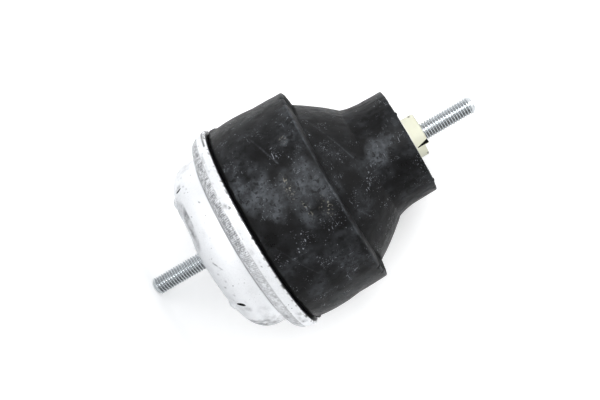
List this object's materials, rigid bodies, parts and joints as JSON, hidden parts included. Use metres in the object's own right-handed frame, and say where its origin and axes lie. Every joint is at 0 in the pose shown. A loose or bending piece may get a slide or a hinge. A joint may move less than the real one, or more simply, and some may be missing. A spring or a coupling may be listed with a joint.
{
  "type": "hydraulic engine mount",
  "caption": "Round hydraulic engine mount: aluminium can crimped to a stepped black rubber spring, with a threaded stud at each end and a nylon locating collar.",
  "frame": {"origin": "centre of the can's flat bottom, where the lower stud leaves it", "axes": "+Z along the studs, from the lower stud towards the upper stud; the section repeats all round, apart from the slots in the can's corner and the split in the collar"},
  "size_m": [0.0976, 0.0976, 0.1606],
  "materials": {
    "can_aluminium": "satin, tumbled",
    "plate_aluminium": "as cast",
    "ring_steel": "phosphated",
    "stud_zinc": "bright zinc plated",
    "spring_rubber": "moulded, dusty",
    "bellows_rubber": "moulded",
    "collar_nylon": "natural nylon"
  },
  "bodies": {
    "root": {"base_can": "can_aluminium", "lower_stud": "stud_zinc", "bellows": "bellows_rubber", "cover_plate": "plate_aluminium", "decoupler_membrane": "bellows_rubber", "channel_plate": "plate_aluminium", "outer_ring": "ring_steel", "rubber_spring": "spring_rubber", "core": "plate_aluminium", "upper_stud": "stud_zinc", "locating_collar": "collar_nylon"}
  },
  "joints": []
}
